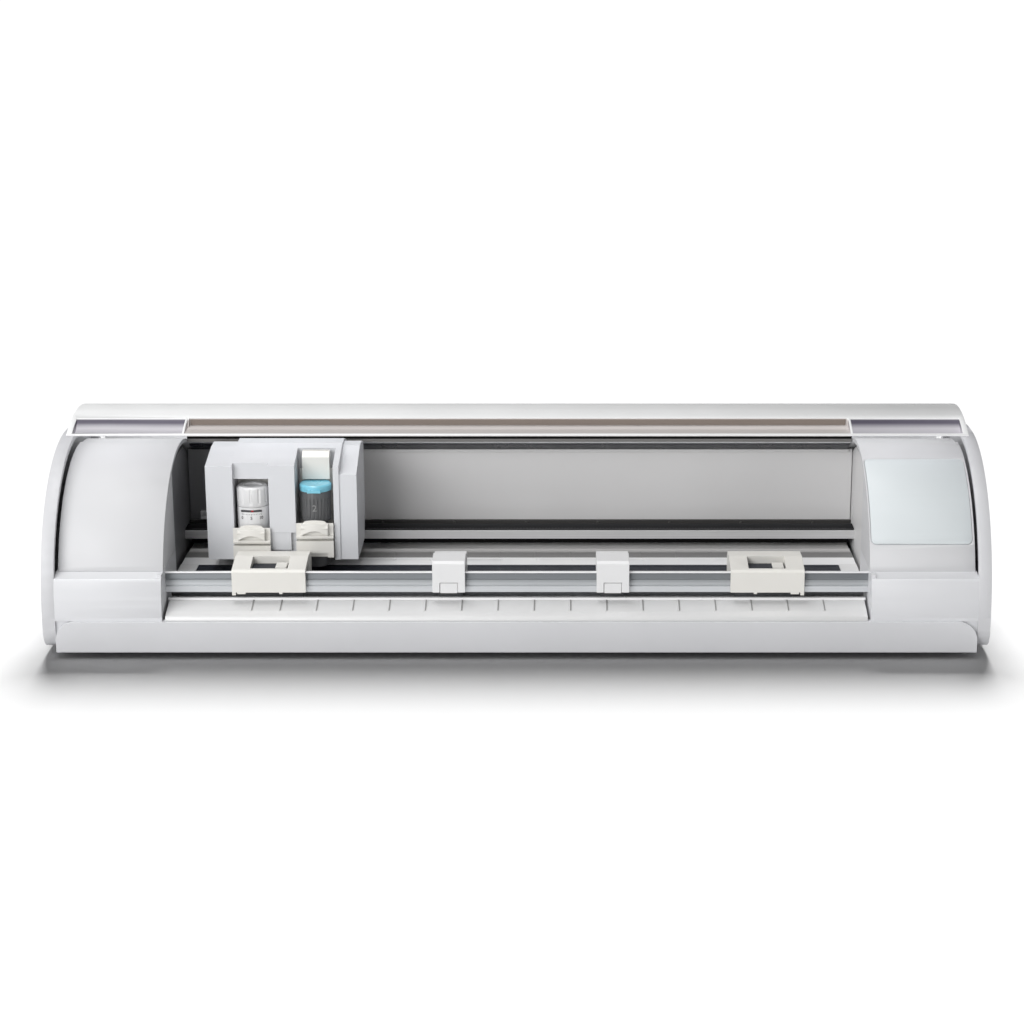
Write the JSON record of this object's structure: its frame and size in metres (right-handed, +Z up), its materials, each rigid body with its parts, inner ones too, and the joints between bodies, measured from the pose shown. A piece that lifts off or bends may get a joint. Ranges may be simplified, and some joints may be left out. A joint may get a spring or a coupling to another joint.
{
  "type": "vinyl cutter",
  "caption": "Desktop vinyl cutter with a half-round body, roll-back dust lid, pinch-roller rail, grit feed shaft and a belt-driven carriage holding two tools.",
  "frame": {"origin": "centre of the footprint, on the surface that the feet stand on", "axes": "+X along the body to the touch panel's end, -Y to the front where media goes in, +Z up"},
  "size_m": [0.554, 0.194, 0.128],
  "materials": {
    "body_white": "fine satin moulded ABS, cool white",
    "lid_white": "satin-gloss moulded cover, cool white",
    "panel_glass": "glossy pale touch panel",
    "carriage_white": "satin bluish-white moulding",
    "cream_plastic": "warm cream moulding",
    "platen_white": "smooth white moulding",
    "panel_grey": "light grey painted sheet",
    "dark_plastic": "black moulding",
    "rail_aluminium": "clear-anodised extrusion",
    "sheet_steel": "zinc-plated sheet",
    "strip_dark": "dark self-healing cutting strip",
    "tool_white": "white tool barrel",
    "tool_grey": "dark grey ribbed barrel",
    "tool_blue": "light blue cap",
    "roller_rubber": "ground rubber",
    "grit_steel": "ground shaft with grit bands",
    "brass": "machined brass",
    "motor_black": "black painted can",
    "board_green": "solder mask",
    "belt_black": "toothed belt",
    "foot_rubber": "soft rubber",
    "screw_steel": "plated screw"
  },
  "bodies": {
    "base": {"base_tray": "body_white", "front_bezel": "body_white", "rear_bezel": "body_white", "left_end_cap": "body_white", "right_end_cap": "body_white", "left_front_cover": "body_white", "right_front_cover": "body_white", "left_lower_cover": "body_white", "right_lower_cover": "body_white", "touch_panel": "panel_glass", "top_cover": "body_white", "rear_cover": "body_white", "rear_panel": "panel_grey", "home_bay_panel": "dark_plastic", "home_sensor": "tool_white", "left_side_frame": "sheet_steel", "right_side_frame": "sheet_steel", "front_platen": "platen_white", "rear_platen": "platen_white", "strip_holder": "platen_white", "cutting_strip": "strip_dark", "roller_rail": "rail_aluminium", "carriage_rail": "rail_aluminium", "guide_plate": "sheet_steel", "drive_belt": "belt_black", "carriage_motor": "motor_black", "feed_motor": "motor_black", "shaft_bearings": "brass", "circuit_board": "board_green", "dc_inlet": "dark_plastic", "usb_port": "sheet_steel", "rubber_feet": "foot_rubber", "case_screws": "screw_steel"},
    "lid": {"lid": "lid_white", "left_lid_arm": "lid_white", "right_lid_arm": "lid_white"},
    "carriage": {"carriage_chassis": "sheet_steel", "carriage_shell": "carriage_white", "carriage_glides": "tool_white"},
    "left_holder": {"left_holder": "cream_plastic", "left_tool": "tool_white"},
    "depth_dial": {"depth_dial": "tool_white"},
    "left_clamp": {"left_clamp": "cream_plastic"},
    "right_holder": {"right_holder": "cream_plastic", "right_tool": "tool_grey", "right_tool_cap": "tool_blue"},
    "right_clamp": {"right_clamp": "cream_plastic"},
    "left_outer_housing": {"left_outer_housing": "cream_plastic"},
    "left_outer_roller": {"left_outer_roller": "roller_rubber"},
    "left_mid_housing": {"left_mid_housing": "cream_plastic"},
    "left_mid_roller": {"left_mid_roller": "roller_rubber"},
    "right_mid_housing": {"right_mid_housing": "cream_plastic"},
    "right_mid_roller": {"right_mid_roller": "roller_rubber"},
    "right_outer_housing": {"right_outer_housing": "cream_plastic"},
    "right_outer_roller": {"right_outer_roller": "roller_rubber"},
    "feed_shaft": {"feed_shaft": "grit_steel"},
    "feed_pinion": {"feed_pinion": "brass"},
    "drive_pulley": {"drive_pulley": "rail_aluminium"},
    "idler_pulley": {"idler_pulley": "rail_aluminium"},
    "power_button": {"power_button": "body_white"}
  },
  "joints": [
    {"name": "lid_hinge", "type": "hinge", "parent": "base", "child": "lid", "pos_m": [0, 0.01291, 0.02645], "axis": [1, 0, 0], "range_deg": [0, 47.5]},
    {"name": "carriage_slide", "type": "slide", "parent": "base", "child": "carriage", "axis": [1, 0, 0], "range_m": [-0.018, 0.3]},
    {"name": "left_tool_lift", "type": "slide", "parent": "carriage", "child": "left_holder", "axis": [0, 0, -1], "range_m": [0, 0.003]},
    {"name": "right_tool_lift", "type": "slide", "parent": "carriage", "child": "right_holder", "axis": [0, 0, -1], "range_m": [0, 0.0025]},
    {"name": "depth_dial_turn", "type": "hinge", "parent": "left_holder", "child": "depth_dial", "pos_m": [-0.16, -0.032, 0.0758], "axis": [0, 0, 1], "range_deg": [0, 150]},
    {"name": "left_clamp_hinge", "type": "hinge", "parent": "left_holder", "child": "left_clamp", "pos_m": [-0.16, -0.0426, 0.0548], "axis": [1, 0, 0], "range_deg": [0, 55]},
    {"name": "right_clamp_hinge", "type": "hinge", "parent": "right_holder", "child": "right_clamp", "pos_m": [-0.122, -0.0426, 0.0578], "axis": [1, 0, 0], "range_deg": [0, 55]},
    {"name": "left_outer_slide", "type": "slide", "parent": "base", "child": "left_outer_housing", "axis": [1, 0, 0], "range_m": [0, 0.03]},
    {"name": "left_outer_roller_spin", "type": "hinge", "parent": "left_outer_housing", "child": "left_outer_roller", "pos_m": [-0.1458, -0.052, 0.0392], "axis": [1, 0, 0], "continuous": true},
    {"name": "left_mid_slide", "type": "slide", "parent": "base", "child": "left_mid_housing", "axis": [1, 0, 0], "range_m": [-0.012, 0.012]},
    {"name": "left_mid_roller_spin", "type": "hinge", "parent": "left_mid_housing", "child": "left_mid_roller", "pos_m": [-0.04, -0.052, 0.0392], "axis": [1, 0, 0], "continuous": true},
    {"name": "right_mid_slide", "type": "slide", "parent": "base", "child": "right_mid_housing", "axis": [1, 0, 0], "range_m": [-0.012, 0.012]},
    {"name": "right_mid_roller_spin", "type": "hinge", "parent": "right_mid_housing", "child": "right_mid_roller", "pos_m": [0.0565, -0.052, 0.0392], "axis": [1, 0, 0], "continuous": true},
    {"name": "right_outer_slide", "type": "slide", "parent": "base", "child": "right_outer_housing", "axis": [-1, 0, 0], "range_m": [0, 0.04]},
    {"name": "right_outer_roller_spin", "type": "hinge", "parent": "right_outer_housing", "child": "right_outer_roller", "pos_m": [0.1474, -0.052, 0.0392], "axis": [1, 0, 0], "continuous": true},
    {"name": "feed_spin", "type": "hinge", "parent": "base", "child": "feed_shaft", "pos_m": [0, -0.052, 0.028], "axis": [1, 0, 0], "continuous": true},
    {"name": "pinion_spin", "type": "hinge", "parent": "base", "child": "feed_pinion", "pos_m": [0.216, -0.03507, 0.04967], "axis": [1, 0, 0], "continuous": true},
    {"name": "drive_pulley_spin", "type": "hinge", "parent": "base", "child": "drive_pulley", "pos_m": [0.228, 0.0235, 0.0497], "axis": [0, 0, 1], "continuous": true},
    {"name": "idler_pulley_spin", "type": "hinge", "parent": "base", "child": "idler_pulley", "pos_m": [-0.228, 0.0235, 0.0497], "axis": [0, 0, 1], "continuous": true},
    {"name": "power_button_press", "type": "slide", "parent": "base", "child": "power_button", "axis": [0, -1, 0], "range_m": [0, 0.0015], "stiffness_N_per_m": 400}
  ],
  "couplings": [
    {"joint": "pinion_spin", "follows": "feed_spin", "ratio": -2.6667},
    {"joint": "left_outer_roller_spin", "follows": "feed_spin", "ratio": -1.2},
    {"joint": "left_mid_roller_spin", "follows": "feed_spin", "ratio": -1.2},
    {"joint": "right_mid_roller_spin", "follows": "feed_spin", "ratio": -1.2},
    {"joint": "right_outer_roller_spin", "follows": "feed_spin", "ratio": -1.2},
    {"joint": "drive_pulley_spin", "follows": "carriage_slide", "rad_per_m": 190.48},
    {"joint": "idler_pulley_spin", "follows": "carriage_slide", "rad_per_m": 190.48}
  ]
}
